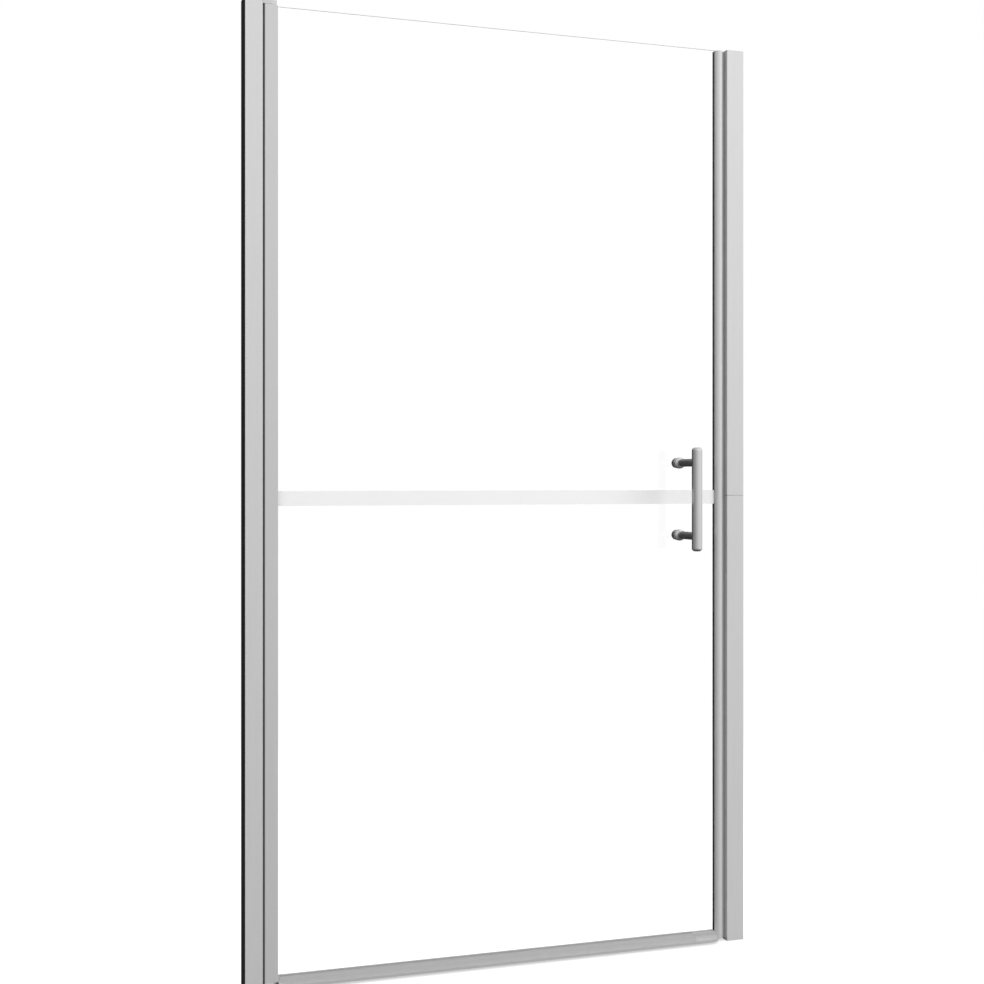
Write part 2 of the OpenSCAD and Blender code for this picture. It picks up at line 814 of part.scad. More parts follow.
// Side view of the rail with its pocket, its chambers and the wiper groove
module rail_side() {
    y0 = rail_wall - ledge_reach;
    y1 = -rail_d / 2;
    difference() {
        rail_solid_side();
        rail_pocket();
        wiper_groove();
        rect(-rail_in, rail_in, rail_lift + rail_wall, rail_floor - rail_wall);
        polygon([
            [y0, ledge_lift + rail_wall],
            [y0, ledge_top(y0) - rail_wall],
            [y1, ledge_top(y1) - rail_wall],
            [y1, ledge_lift + rail_wall]
        ]);
    }
}

module bottom_rail() {
    color("silver") lengthways(rail_body_x0, rail_body_x1) rail_side();
}

// Gasket around the bottom edge of the glass, between the rail's end caps
module rail_glazing_gasket() {
    color("dimgrey") lengthways(rail_x0, rail_x1) difference() {
        intersection() {
            rail_pocket();
            rect(-rail_d, rail_d, rail_floor, rail_top);
        }
        rect(-glass_face, glass_face, glass_z0, rail_top + eps);
    }
}

// Short cap that closes the rail beside the stile
module rail_cap_hinge_side() {
    color("lightgrey") lengthways(rail_x0, rail_body_x0) difference() {
        rail_solid_side();
        rail_pocket();
        wiper_groove();
    }
}

// Long cap at the closing side. Its end is hollowed around the closing profile,
// and its ledge runs on in front of the profile and ends in a round corner.
module rail_cap_strike_side() {
    color("lightgrey") difference() {
        intersection() {
            lengthways(rail_body_x1, ledge_x1) rail_solid_side();
            upright(0, rail_top + eps) difference() {
                union() {
                    rect(rail_body_x1 - eps, ledge_x1, ledge_r - ledge_reach, rail_d);
                    rect(rail_body_x1 - eps, ledge_x1 - ledge_r, -ledge_reach - eps, rail_d);
                    translate([ledge_x1 - ledge_r, ledge_r - ledge_reach]) circle(ledge_r);
                }
                translate([closing_cx, 0]) circle(closing_r + rail_gap);
                rect(closing_cx - closing_r, ledge_x1 + eps, 0, rail_d + eps);
            }
        }
        lengthways(rail_body_x1 - eps, ledge_x1) {
            rail_pocket();
            wiper_groove();
        }
    }
}

// Soft wiper under the rail: a foot in the groove and two blades
module rail_wiper_seal() {
    color("dimgrey") lengthways(rail_x0, rail_x1) {
        rect(
            plug_fit - rail_mouth, rail_mouth - plug_fit,
            rail_lift - wiper_t, rail_lift + rail_wall + eps
        );
        rect(
            plug_fit - 2 * rail_mouth, 2 * rail_mouth - plug_fit,
            rail_lift + rail_wall, rail_lift + 2 * rail_wall - plug_fit
        );
        for (s = [-1, 1]) translate([s * (rail_mouth - plug_fit - wiper_t / 2), 0])
            rect(-wiper_t / 2, wiper_t / 2, wiper_lift, rail_lift);
    }
}

// Tube of the handle
module handle_bar() {
    color("lightgrey") translate([handle_x, -handle_reach, 0]) difference() {
        upright(handle_z - bar_l / 2 + bar_end_r, handle_z + bar_l / 2 - bar_end_r)
            circle(d = bar_d);
        upright(handle_z - bar_l / 2, handle_z + bar_l / 2) circle(bar_d / 2 - bar_wall);
    }
}

// Rounded end caps of the tube, each with a spigot inside it
module handle_bar_caps() {
    color("lightgrey") for (s = [-1, 1])
        translate([handle_x, -handle_reach, handle_z + s * (bar_l / 2 - bar_end_r)])
            mirror([0, 0, s < 0 ? 1 : 0]) rotate_extrude() {
                rect(0, bar_d / 2 - bar_end_r, 0, bar_end_r);
                intersection() {
                    translate([bar_d / 2 - bar_end_r, 0]) circle(bar_end_r);
                    rect(0, bar_d / 2, 0, bar_end_r);
                }
                rect(0, bar_d / 2 - bar_wall - plug_fit, -bar_end_r, eps);
            }
}

// Posts from the rosettes to the tube, hollowed to sit on it
module handle_posts() {
    color("lightgrey") for (z = handle_zs) difference() {
        along_y(handle_x, -handle_reach, -rosette_y, z, handle_post_d);
        translate([handle_x, -handle_reach, z - bar_d]) cylinder(d = bar_d, h = 2 * bar_d);
        along_y(handle_x, -stud_front, 0, z, stud_d);
    }
}

// Rosette around each post, tapered towards the bar
module handle_rosettes() {
    color("lightgrey") for (z = handle_zs) turned_along_y(handle_x, z) polygon([
        [handle_post_d / 2, -rosette_y],
        [rosette_d / 2, -rosette_y],
        [rosette_d / 2, -rosette_y - rosette_t],
        [handle_post_d / 2, -rosette_y - rosette_t - rosette_taper]
    ]);
}

// Clear washers between the metal and the glass, on both sides
module handle_washers() {
    color("whitesmoke") for (z = handle_zs, y = [-rosette_y, glass_face]) difference() {
        along_y(handle_x, y, y + washer_t, z, rosette_d);
        along_y(handle_x, y - eps, y + washer_t + eps, z, stud_d);
    }
}

// Sleeves that keep the studs off the glass
module handle_hole_sleeves() {
    color("whitesmoke") for (z = handle_zs) difference() {
        along_y(handle_x, -glass_face, glass_face, z, glass_hole_d);
        along_y(handle_x, -glass_t, glass_t, z, stud_d);
    }
}

module handle_studs() {
    color("silver") for (z = handle_zs)
        along_y(handle_x, -stud_front, rosette_y + stud_back, z, stud_d);
}

// Domed knobs inside the shower, each with a shallow waist
module handle_inner_knobs() {
    waist = 1;
    color("lightgrey") for (z = handle_zs) turned_along_y(handle_x, z) difference() {
        union() {
            rect(0, knob_d / 2 - waist, rosette_y, rosette_y + knob_l - knob_dome);
            rect(0, knob_d / 2, rosette_y, rosette_y + 2 * waist);
            rect(0, knob_d / 2, rosette_y + 4 * waist, rosette_y + knob_l - knob_dome);
            intersection() {
                translate([knob_d / 2 - knob_dome, rosette_y + knob_l - knob_dome])
                    circle(knob_dome);
                rect(0, knob_d / 2, rosette_y + knob_l - knob_dome, rosette_y + knob_l);
            }
            rect(
                0, knob_d / 2 - knob_dome,
                rosette_y + knob_l - knob_dome, rosette_y + knob_l
            );
        }
        rect(-eps, stud_d / 2, 0, rosette_y + stud_back);
    }
}

hinge_wall_gasket();
hinge_wall_channel();
hinge_jamb();
hinge_top_cap();
top_pivot_block();
bottom_pivot_block();
top_pivot_bush();
bottom_pivot_bush();
pivot_block_screws();
jamb_lock_screws();
strike_wall_gasket();
strike_wall_channel();
strike_profile_lower();
strike_profile_upper();
strike_joint_spigot();
strike_magnet_strip();
strike_lock_screws();
strike_top_cap();
hinge_stile();
stile_plug_top();
stile_plug_bottom();
pivot_pin_top();
pivot_pin_bottom();
hinge_seal();
stile_glazing_gasket();
glass_panel();
frosted_band();
closing_profile();
closing_glazing_gasket();
door_magnet_strip();
closing_plug_top();
closing_plug_bottom();
bottom_rail();
rail_glazing_gasket();
rail_cap_hinge_side();
rail_cap_strike_side();
rail_wiper_seal();
handle_bar();
handle_bar_caps();
handle_posts();
handle_rosettes();
handle_washers();
handle_hole_sleeves();
handle_studs();
handle_inner_knobs();
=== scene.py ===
# %% [markdown]
# # A pivoting glass shower door, dressed for its photograph
#
# The door is already built as a set of solid pieces at their real size: two
# aluminium posts, a glass leaf that turns on two pivots, a round closing
# profile, a drip rail and a bar handle. This notebook loads those pieces, sets
# up the camera and a soft studio, gives every piece a procedural finish, and
# adds the soft seals, the screws and the ground glass edges, which need finer
# shapes than a solid model carries.

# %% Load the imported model
import bpy
import bmesh
import json
import math
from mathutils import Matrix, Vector


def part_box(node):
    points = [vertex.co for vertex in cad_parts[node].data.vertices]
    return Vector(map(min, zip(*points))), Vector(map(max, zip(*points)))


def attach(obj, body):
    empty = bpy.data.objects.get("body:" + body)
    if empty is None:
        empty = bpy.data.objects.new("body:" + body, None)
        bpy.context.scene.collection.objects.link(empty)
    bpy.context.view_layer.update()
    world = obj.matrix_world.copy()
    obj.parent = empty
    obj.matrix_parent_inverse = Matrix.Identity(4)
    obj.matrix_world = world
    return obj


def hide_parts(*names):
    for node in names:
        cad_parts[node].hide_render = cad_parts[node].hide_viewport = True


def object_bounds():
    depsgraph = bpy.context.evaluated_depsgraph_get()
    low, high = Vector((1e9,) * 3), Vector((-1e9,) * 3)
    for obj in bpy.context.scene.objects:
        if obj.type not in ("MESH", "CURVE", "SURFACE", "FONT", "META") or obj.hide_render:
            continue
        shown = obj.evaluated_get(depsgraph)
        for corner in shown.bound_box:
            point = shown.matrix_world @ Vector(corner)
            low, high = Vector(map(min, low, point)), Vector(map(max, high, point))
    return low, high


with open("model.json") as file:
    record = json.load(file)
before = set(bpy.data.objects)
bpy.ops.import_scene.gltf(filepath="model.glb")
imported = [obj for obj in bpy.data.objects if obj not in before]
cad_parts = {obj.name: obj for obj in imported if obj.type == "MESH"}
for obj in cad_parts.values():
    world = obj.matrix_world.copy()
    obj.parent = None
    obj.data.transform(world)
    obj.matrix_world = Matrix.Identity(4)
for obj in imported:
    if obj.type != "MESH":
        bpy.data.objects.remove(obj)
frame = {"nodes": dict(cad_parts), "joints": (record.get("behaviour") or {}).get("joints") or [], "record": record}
cad_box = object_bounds()
nodes = frame["nodes"]

# %% [markdown]
# ## Places taken from the model
#
# Nothing is placed by eye. Each new piece reads the corners of the solids that
# it stands for or sits in, so it stays seated if the door is made wider or
# taller. Small helpers keep that readable: they give the lowest corner, the
# highest corner and the middle of a solid. One more makes an object and puts it
# in the scene.

# %% Corners of the pieces
MM = 0.001


def low(node):
    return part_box(node)[0]


def high(node):
    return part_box(node)[1]


def middle(node):
    return (low(node) + high(node)) / 2


def new_object(name, data):
    made = bpy.data.objects.new(name, data)
    bpy.context.scene.collection.objects.link(made)
    return made


pivot = Vector(frame["joints"][0]["pos_m"])
glass_thick = high("glass_panel").y - low("glass_panel").y
print("pivot axis at x =", round(pivot.x, 4), "glass thickness =", round(glass_thick, 4))

# %% [markdown]
# ## Camera
#
# The photograph has upright verticals, so the camera is level and a small
# vertical shift frames the door. Its place and focal length come from the
# vanishing lines of the posts, the rail and the frosted band. The camera stands
# 2.7 m in front of the glass and half a metre to the left of the hinge wall,
# and looks 18.8 degrees, or 0.3283 radians, to the right.

# %% Set up the camera
image_px = 984
focal_px = 1530.95
horizon_px = 480
sensor_mm = 36
camera_place = (-0.46125, -2.74224, 0.9155)
camera_heading = 0.3283

camera_data = bpy.data.cameras.new("photo_camera")
camera_data.sensor_width = sensor_mm
camera_data.lens = sensor_mm * focal_px / image_px
camera_data.shift_y = (horizon_px - image_px / 2) / image_px
camera = new_object("photo_camera", camera_data)
camera.location = camera_place
camera.rotation_euler = (math.radians(90), 0, -camera_heading)
bpy.context.scene.camera = camera
bpy.context.scene.view_settings.view_transform = "Standard"
print("focal length:", round(camera_data.lens, 2), "mm")

# %% [markdown]
# ## Node helpers
#
# Every finish starts from the same pair: one Principled shader and one output.
# The helpers below add a node with its settings, feed its inputs by name and
# do sums with sockets, so that the recipe of a finish reads as a short list.

# %% Helpers for node trees


def feed(tree, node, inputs):
    """Connects sockets to the named inputs, or stores plain numbers and colours there."""
    for name, value in inputs.items():
        if isinstance(value, bpy.types.NodeSocket):
            tree.links.new(value, node.inputs[name])
        else:
            node.inputs[name].default_value = value


def add_node(tree, kind, inputs=None, **settings):
    node = tree.nodes.new(kind)
    for key, value in settings.items():
        setattr(node, key, value)
    feed(tree, node, inputs or {})
    return node


def maths(tree, operation, a, b):
    return add_node(tree, "ShaderNodeMath", {0: a, 1: b}, operation=operation).outputs[0]


def product(tree, first, *others):
    for other in others:
        first = maths(tree, "MULTIPLY", first, other)
    return first


def vector_maths(tree, operation, inputs):
    return add_node(tree, "ShaderNodeVectorMath", inputs, operation=operation)


def scaled(tree, vector, factor):
    """A vector or a colour, multiplied by one number."""
    return vector_maths(tree, "SCALE", {0: vector, "Scale": factor}).outputs[0]


def ramp(tree, value, low_in, high_in, low_out, high_out):
    """Maps a value from one range to another, without going past its ends."""
    inputs = {"Value": value, "From Min": low_in, "From Max": high_in,
              "To Min": low_out, "To Max": high_out}
    return add_node(tree, "ShaderNodeMapRange", inputs, clamp=True).outputs["Result"]


def between(tree, factor, first, second):
    """The first value where the factor is 0 and the second where it is 1."""
    inputs = {"Factor": factor, "A": first, "B": second}
    return add_node(tree, "ShaderNodeMix", inputs, data_type="FLOAT").outputs["Result"]


def new_material(name, colour, roughness, metallic=0.0):
    """A material with one Principled shader; returns the material, its tree and the shader."""
    material = bpy.data.materials.new(name)
    material.use_nodes = True
    tree = material.node_tree
    tree.nodes.clear()
    shader = add_node(tree, "ShaderNodeBsdfPrincipled", {
        "Base Color": (*colour, 1), "Roughness": roughness, "Metallic": metallic})
    add_node(tree, "ShaderNodeOutputMaterial", {"Surface": shader.outputs[0]})
    return material, tree, shader


print("node helpers ready")

# %% [markdown]
# ## Studio
#
# The photograph is a cut-out on pure white with soft light from the front
# right: faces that look left are dark, front faces are light, and all metal
# darkens towards the floor. Metal shows its surroundings, so the background is
# painted like a real studio. It is white where the camera looks, also through
# the glass. In a reflection it falls off to the left, towards the floor and far
# behind the door, where only the top and the right side stay light. Directions
# run from -1 to 1 along each axis, and the numbers below say where each change
# starts, where it is complete and how strong it is. What is seen through the
# glass is three percent stronger, which makes up for the light that the glass
# itself reflects away. Matt pieces are lit by the level of the room.

# %% World that the metal reflects
middle_level = 0.62
rise_to_right = 0.30
rise_to_front = 0.20
dark_below, light_above = 0.06, 1.10
light_from = 0.40
behind_loss = 0.90
behind_start, behind_full = 0.3, 0.85
right_start, right_full, right_share = 0.58, 0.75, 0.15
top_start, top_full = 0.38, 0.6
room_level = 0.68
through_glass = 1.03

world = bpy.data.worlds.new("studio")
world.use_nodes = True
world.cycles.sampling_method = "NONE"
bpy.context.scene.world = world
studio = world.node_tree
studio.nodes.clear()
direction = add_node(studio, "ShaderNodeTexCoord").outputs["Generated"]
to_right, to_back, to_top = add_node(studio, "ShaderNodeSeparateXYZ", {0: direction}).outputs

around = maths(studio, "ADD", middle_level, maths(
    studio, "SUBTRACT", product(studio, to_right, rise_to_right),
    product(studio, to_back, rise_to_front)))
by_height = ramp(studio, to_top, -1, light_from, dark_below, light_above)
to_behind = ramp(studio, to_back, behind_start, behind_full, 0.0, behind_loss)
not_to_right = ramp(studio, to_right, right_start, right_full, 1.0, right_share)
not_to_top = ramp(studio, to_top, top_start, top_full, 1.0, 0.0)
behind = product(studio, to_behind, not_to_right, not_to_top)
reflected_level = product(studio, around, by_height, maths(studio, "SUBTRACT", 1.0, behind))

rays = add_node(studio, "ShaderNodeLightPath").outputs
shows_background = maths(studio, "MAXIMUM", rays["Is Camera Ray"], maths(
    studio, "MAXIMUM", rays["Is Glossy Ray"], rays["Is Transmission Ray"]))
in_reflection = maths(studio, "GREATER_THAN", rays["Glossy Depth"], 0.5)
seen_level = between(studio, rays["Is Transmission Ray"], 1.0, through_glass)
background_level = between(studio, in_reflection, seen_level, reflected_level)
background = add_node(studio, "ShaderNodeBackground", {
    "Color": (1, 1, 1, 1),
    "Strength": between(studio, shows_background, room_level, background_level)})
add_node(studio, "ShaderNodeOutputWorld", {"Surface": background.outputs[0]})
print("studio world:", len(studio.nodes), "nodes")

# %% [markdown]
# Large soft lamps light the matt pieces, which the room alone would leave grey:
# a key from the front right, a weaker fill from the left, one behind the door
# and one above. They are left out of reflections, because the metal already
# shows the painted studio and would carry a second, brighter highlight. The
# table gives the place and width of each in metres and its power in watts.

# %% Soft lamps


def soft_lamp(name, place, aim, size, power):
    data = bpy.data.lights.new(name, "AREA")
    data.shape = "DISK"
    data.size = size
    data.energy = power
    lamp = new_object(name, data)
    lamp.location = place
    lamp.rotation_euler = (Vector(aim) - Vector(place)).to_track_quat("-Z", "Y").to_euler()
    lamp.visible_camera = False
    lamp.visible_glossy = False
    lamp.visible_transmission = False


door_middle = (cad_box[0] + cad_box[1]) / 2
lamps = {
    "key_lamp": ((4.6, -3.4, 3.6), 4.4, 192),
    "fill_lamp": ((-3.2, -3.6, 3.4), 3.6, 50),
    "rear_lamp": ((2.4, 4.2, 3.4), 4.0, 190),
    "top_lamp": ((0.5, -0.3, 4.6), 3.6, 46),
}
for name, (place, size, power) in lamps.items():
    soft_lamp(name, place, door_middle, size, power)
print("lamps:", list(lamps))

# %% [markdown]
# The floor is a pale disc at the height of the shower tray. Its own colour
# keeps the soft shadow of the posts. A share of plain white is added where the
# camera looks. Away from the door that share grows to full white while the
# colour fades out, so that the floor runs into the background without a
# horizon line. Metal reflects the painted studio instead of the floor: glossy
# rays don't see the disc, and where they reach it through the glass it is
# transparent, which Light Path's Glossy Depth tells.

# %% Floor
floor_size = 9.0
floor_gap = 0.5 * MM
floor_colour = (0.50, 0.50, 0.50)
fade_start, fade_end = 0.9, 2.8
near_white = 0.56
speckles_per_metre, speckle_start, speckle_full = 6.0, 0.3, 0.7
smooth_speckle, rough_speckle = 0.86, 0.94

floor_mesh = bpy.data.meshes.new("floor")
floor_shape = bmesh.new()
bmesh.ops.create_circle(floor_shape, cap_ends=True, segments=96, radius=floor_size)
floor_shape.to_mesh(floor_mesh)
floor_shape.free()
floor = new_object("floor", floor_mesh)
floor.location = (door_middle.x, door_middle.y, cad_box[0].z - floor_gap)
floor.visible_glossy = False

floor_material, floor_tree, floor_shader = new_material("pale_floor", floor_colour, rough_speckle)
floor_place = add_node(floor_tree, "ShaderNodeTexCoord").outputs["Object"]
floor_reach = vector_maths(floor_tree, "LENGTH", {0: floor_place}).outputs["Value"]
floor_speckle = add_node(floor_tree, "ShaderNodeTexNoise",
                         {"Vector": floor_place, "Scale": speckles_per_metre}).outputs["Fac"]
floor_rays = add_node(floor_tree, "ShaderNodeLightPath").outputs
seen_floor = maths(
    floor_tree, "MAXIMUM", floor_rays["Is Camera Ray"], floor_rays["Is Transmission Ray"])
floor_fade = ramp(floor_tree, floor_reach, fade_start, fade_end, 0, 1)
floor_white = ramp(floor_tree, floor_fade, 0, 1, near_white, 1)
floor_through = between(floor_tree, floor_rays["Is Transmission Ray"], 1.0, through_glass)
feed(floor_tree, floor_shader, {
    "Base Color": scaled(floor_tree, floor_colour, maths(floor_tree, "SUBTRACT", 1, floor_fade)),
    "Roughness": ramp(floor_tree, floor_speckle, speckle_start, speckle_full,
                      smooth_speckle, rough_speckle),
    "Specular IOR Level": 0.1,
    "Alpha": maths(floor_tree, "LESS_THAN", floor_rays["Glossy Depth"], 0.5),
    "Emission Color": (1, 1, 1, 1),
    "Emission Strength": product(floor_tree, seen_floor, floor_white, floor_through)})
floor_mesh.materials.append(floor_material)
print("floor radius:", floor_size, "m")

# %% [markdown]
# ## Effects that several finishes share
#
# Three small node groups hold what more than one material needs. The first is
# the fine lengthwise grain that drawing through a die leaves on aluminium: a
# noise that is stretched far along the profile. The second is the even pebble
# of moulded plastic and rubber. The third is the faint cloudiness that
# handling leaves on anything smooth. It moves the roughness a little, and on
# metal the tone too.

# %% Shader node groups


def start_group(name, numbers, outputs):
    """A group that takes a vector and named numbers, and gives out numbers."""
    group = bpy.data.node_groups.new(name, "ShaderNodeTree")
    group.interface.new_socket("Vector", in_out="INPUT", socket_type="NodeSocketVector")
    for label, value in numbers.items():
        socket = group.interface.new_socket(label, in_out="INPUT", socket_type="NodeSocketFloat")
        socket.default_value = value
    for label in outputs:
        group.interface.new_socket(label, in_out="OUTPUT", socket_type="NodeSocketFloat")
    return group, add_node(group, "NodeGroupInput").outputs, add_node(group, "NodeGroupOutput")


def stretched_noise(tree, vector, stretch, scale, detail):
    place = add_node(tree, "ShaderNodeMapping", {"Vector": vector, "Scale": stretch})
    noise = add_node(tree, "ShaderNodeTexNoise", {
        "Vector": place.outputs[0], "Scale": scale, "Detail": detail})
    return noise.outputs["Fac"]


grain_group, grain_in, grain_out = start_group(
    "drawn_grain",
    {"Lines per metre": 900.0, "Tone change": 0.03, "Roughness": 0.35, "Roughness change": 0.08},
    ["Tone", "Roughness", "Height"])
fine_stretch, broad_stretch = (1, 1, 0.012), (1, 1, 0.05)
fine_share, broad_share, broad_scale = 0.7, 0.3, 0.08
lines = grain_in["Lines per metre"]
fine = stretched_noise(grain_group, grain_in["Vector"], fine_stretch, lines, detail=3)
broad = stretched_noise(grain_group, grain_in["Vector"], broad_stretch,
                        product(grain_group, lines, broad_scale), detail=2)
both = maths(grain_group, "ADD", product(grain_group, fine, fine_share),
             product(grain_group, broad, broad_share))
centred = maths(grain_group, "SUBTRACT", both, 0.5)
tone_change = product(grain_group, centred, grain_in["Tone change"])
rough_change = product(grain_group, centred, grain_in["Roughness change"])
feed(grain_group, grain_out, {
    "Tone": maths(grain_group, "ADD", 1.0, tone_change),
    "Roughness": maths(grain_group, "ADD", grain_in["Roughness"], rough_change),
    "Height": fine})

pebble_group, pebble_in, pebble_out = start_group(
    "moulded_pebble", {"Pebbles per metre": 1500.0}, ["Height", "Tone"])
cells = add_node(pebble_group, "ShaderNodeTexVoronoi", {
    "Vector": pebble_in["Vector"], "Scale": pebble_in["Pebbles per metre"]},
    feature="SMOOTH_F1").outputs["Distance"]
cell_wide, cell_dark, cell_light = 0.8, 0.96, 1.03
feed(pebble_group, pebble_out, {
    "Height": cells, "Tone": ramp(pebble_group, cells, 0.0, cell_wide, cell_dark, cell_light)})

cloud_group, cloud_in, cloud_out = start_group(
    "handling_clouds", {"Clouds per metre": 9.0, "Roughness": 0.1, "Change": 0.05},
    ["Roughness", "Mask"])
cloud_stretch, cloud_start, cloud_full = (1, 1, 0.6), 0.35, 0.75
cloud = stretched_noise(cloud_group, cloud_in["Vector"], cloud_stretch,
                        cloud_in["Clouds per metre"], detail=4)
cloud_mask = ramp(cloud_group, cloud, cloud_start, cloud_full, 0.0, 1.0)
cloud_change = product(cloud_group, cloud_mask, cloud_in["Change"])
feed(cloud_group, cloud_out, {
    "Roughness": maths(cloud_group, "ADD", cloud_in["Roughness"], cloud_change),
    "Mask": cloud_mask})
print("groups:", [g.name for g in bpy.data.node_groups])

# %% [markdown]
# ## Finishes
#
# Aluminium comes first, because it covers most of the door. The grain follows
# the profile's length, so the upright profiles and the rail differ only in how
# their coordinates are turned. The tone of the grain multiplies the base
# colour, and its height gives a very small bump. The anodised skin scatters a
# part of the light, so the finish is a little less than fully metallic, and
# faces that turn away from the studio still take some light from the lamps.
# The channel that hides in the strike post is painted dark and rough, as painted
# shade: it shows as the right half of the hairline seam.

# %% Drawn and anodised aluminium


def place_group(tree, group, inputs):
    return add_node(tree, "ShaderNodeGroup", inputs, node_tree=group).outputs


def bump(tree, height, depth):
    inputs = {"Height": height, "Distance": depth, "Strength": 1.0}
    return add_node(tree, "ShaderNodeBump", inputs).outputs[0]


def object_place(tree, turn=(0, 0, 0)):
    coords = add_node(tree, "ShaderNodeTexCoord").outputs["Object"]
    return add_node(tree, "ShaderNodeMapping", {"Vector": coords, "Rotation": turn}).outputs[0]


def aluminium(name, colour, roughness, turn=(0, 0, 0)):
    material, tree, shader = new_material(name, colour, roughness, anodised_metallic)
    grain = place_group(tree, grain_group, {
        "Vector": object_place(tree, turn), "Lines per metre": grain_lines,
        "Tone change": grain_change, "Roughness": roughness, "Roughness change": grain_change})
    feed(tree, shader, {
        "Base Color": scaled(tree, colour, grain["Tone"]), "Roughness": grain["Roughness"],
        "Normal": bump(tree, grain["Height"], grain_deep)})
    return material


anodised_metallic = 0.78
grain_lines, grain_change, grain_deep = 1400.0, 0.16, 0.004 * MM
post_aluminium = aluminium("post_aluminium", (0.80, 0.80, 0.80), 0.38)
stile_aluminium = aluminium("stile_aluminium", (0.73, 0.73, 0.73), 0.40)
along_x = (0, math.radians(90), 0)
rail_aluminium = aluminium("rail_aluminium", (0.66, 0.66, 0.66), 0.42, along_x)
# Painted shade: the hidden strike channel is painted dark so that the seam reads as a dark groove.
seam_shade_aluminium = aluminium("seam_shade_aluminium", (0.32, 0.32, 0.32), 0.60)
print("aluminium finishes:", post_aluminium.name, stile_aluminium.name, rail_aluminium.name,
      seam_shade_aluminium.name)

# %% [markdown]
# Moulded plastic and rubber have no metal in them, so their look comes from
# colour, roughness and the pebble of the mould. Each line gives the colour, the
# roughness, the pebbles per metre and the depth of their relief. The foam behind
# the posts is the roughest and nearly black, as the dark strip in the photograph
# shows.

# %% Plastics, rubber and foam


def pebbled(tree, shader, colour, pebbles, depth):
    """Gives a shader the tone and the small relief of the pebble."""
    pebble = place_group(tree, pebble_group, {
        "Vector": object_place(tree), "Pebbles per metre": pebbles})
    feed(tree, shader, {"Base Color": scaled(tree, colour, pebble["Tone"]),
                        "Normal": bump(tree, pebble["Height"], depth)})


def moulded(name, colour, roughness, pebbles, depth, specular=0.5):
    material, tree, shader = new_material(name, colour, roughness)
    feed(tree, shader, {"Specular IOR Level": specular})
    pebbled(tree, shader, colour, pebbles, depth)
    return material


block_plastic = moulded("block_plastic", (0.62, 0.62, 0.63), 0.45, 2200.0, 0.02 * MM)
# Painted shade: the joint spigot is painted near black so that the hairline seam of the strike post reads as a
# shaded groove.
seam_shade_plastic = moulded("seam_shade_plastic", (0.05, 0.05, 0.052), 0.5, 2200.0, 0.02 * MM)
cap_plastic = moulded("cap_plastic", (0.44, 0.44, 0.445), 0.42, 2200.0, 0.02 * MM)
bearing_plastic = moulded("bearing_plastic", (0.82, 0.82, 0.80), 0.35, 2600.0, 0.01 * MM)
# Painted light: the hinge bulb is painted a lighter grey than black rubber, to lift the shade in the narrow gap
# between jamb and stile.
gap_light_bulb_rubber = moulded("gap_light_bulb_rubber", (0.11, 0.11, 0.112), 0.55, 1800.0, 0.03 * MM)
seal_rubber = moulded("seal_rubber", (0.025, 0.025, 0.026), 0.55, 1800.0, 0.03 * MM)
glazing_rubber = moulded("glazing_rubber", (0.42, 0.42, 0.43), 0.6, 1800.0, 0.03 * MM)
# Painted light: the magnet strips are painted light grey, to lift the shade in the deep cleft between the closing
# profile and the strike post.
cleft_light_magnet_rubber = moulded("cleft_light_magnet_rubber", (0.40, 0.40, 0.41), 0.5, 1500.0, 0.02 * MM)
wall_foam = moulded("wall_foam", (0.012, 0.012, 0.0125), 0.9, 900.0, 0.12 * MM, specular=0.3)
print("moulded finishes ready")

# %% [markdown]
# The handle is polished and the screws are plain stainless steel. Both are
# mirror-like metals, so what matters is the roughness: low on the handle, with
# faint clouds where hands touch it, and higher on the screws, whose blasted
# skin also scatters a little light.

# %% Handle and screw metal


def bright_metal(name, colour, roughness, change, clouds=14.0, metallic=1.0):
    material, tree, shader = new_material(name, colour, roughness, metallic)
    cloudy = place_group(tree, cloud_group, {
        "Vector": object_place(tree), "Clouds per metre": clouds, "Roughness": roughness,
        "Change": change})
    tone = ramp(tree, cloudy["Mask"], 0, 1, 1.0, cloud_tone)
    feed(tree, shader, {
        "Base Color": scaled(tree, colour, tone), "Roughness": cloudy["Roughness"]})
    return material


cloud_tone = 0.97
handle_metal = bright_metal("handle_metal", (0.82, 0.82, 0.82), 0.15, 0.05)
screw_steel = bright_metal("screw_steel", (0.78, 0.78, 0.77), 0.32, 0.08, clouds=120.0,
                           metallic=0.75)
print("bright metals:", handle_metal.name, screw_steel.name)

# %% [markdown]
# Clear glass needs three things: full transmission, an index a little below
# the 1.52 of float glass, which keeps its reflections faint, and shadows that
# stay light. A shadow ray that meets the glass finds it nearly transparent,
# because its alpha drops for shadow rays only. The washers and sleeves use the
# same idea, but their plastic is milky: only a part of the light goes through.

# %% Clear materials


def clear(name, colour, index, roughness, shadow, through=1.0):
    material, tree, shader = new_material(name, colour, roughness)
    shadow_ray = add_node(tree, "ShaderNodeLightPath").outputs["Is Shadow Ray"]
    cloudy = place_group(tree, cloud_group, {
        "Vector": object_place(tree), "Roughness": roughness, "Change": clear_change})
    feed(tree, shader, {
        "IOR": index, "Transmission Weight": through, "Roughness": cloudy["Roughness"],
        "Alpha": between(tree, shadow_ray, 1.0, shadow)})
    return material


clear_change = 0.004
glass_index, plastic_index = 1.45, 1.46
leaf_glass = clear("leaf_glass", (0.995, 1.0, 0.998), glass_index, 0.0, 0.05)
clear_plastic = clear("clear_plastic", (0.90, 0.91, 0.91), plastic_index, 0.25, 0.3,
                      through=0.4)
print("clear materials:", leaf_glass.name, clear_plastic.name)

# %% [markdown]
# The ground edge of the glass scatters light, so it reads as a thin grey line.
# The frosted band is a matt film: white, a little see-through, with the
# finest pebble. It is fainter in a reflection, so that the bar of the handle
# stays dark on its left side where it passes the band.

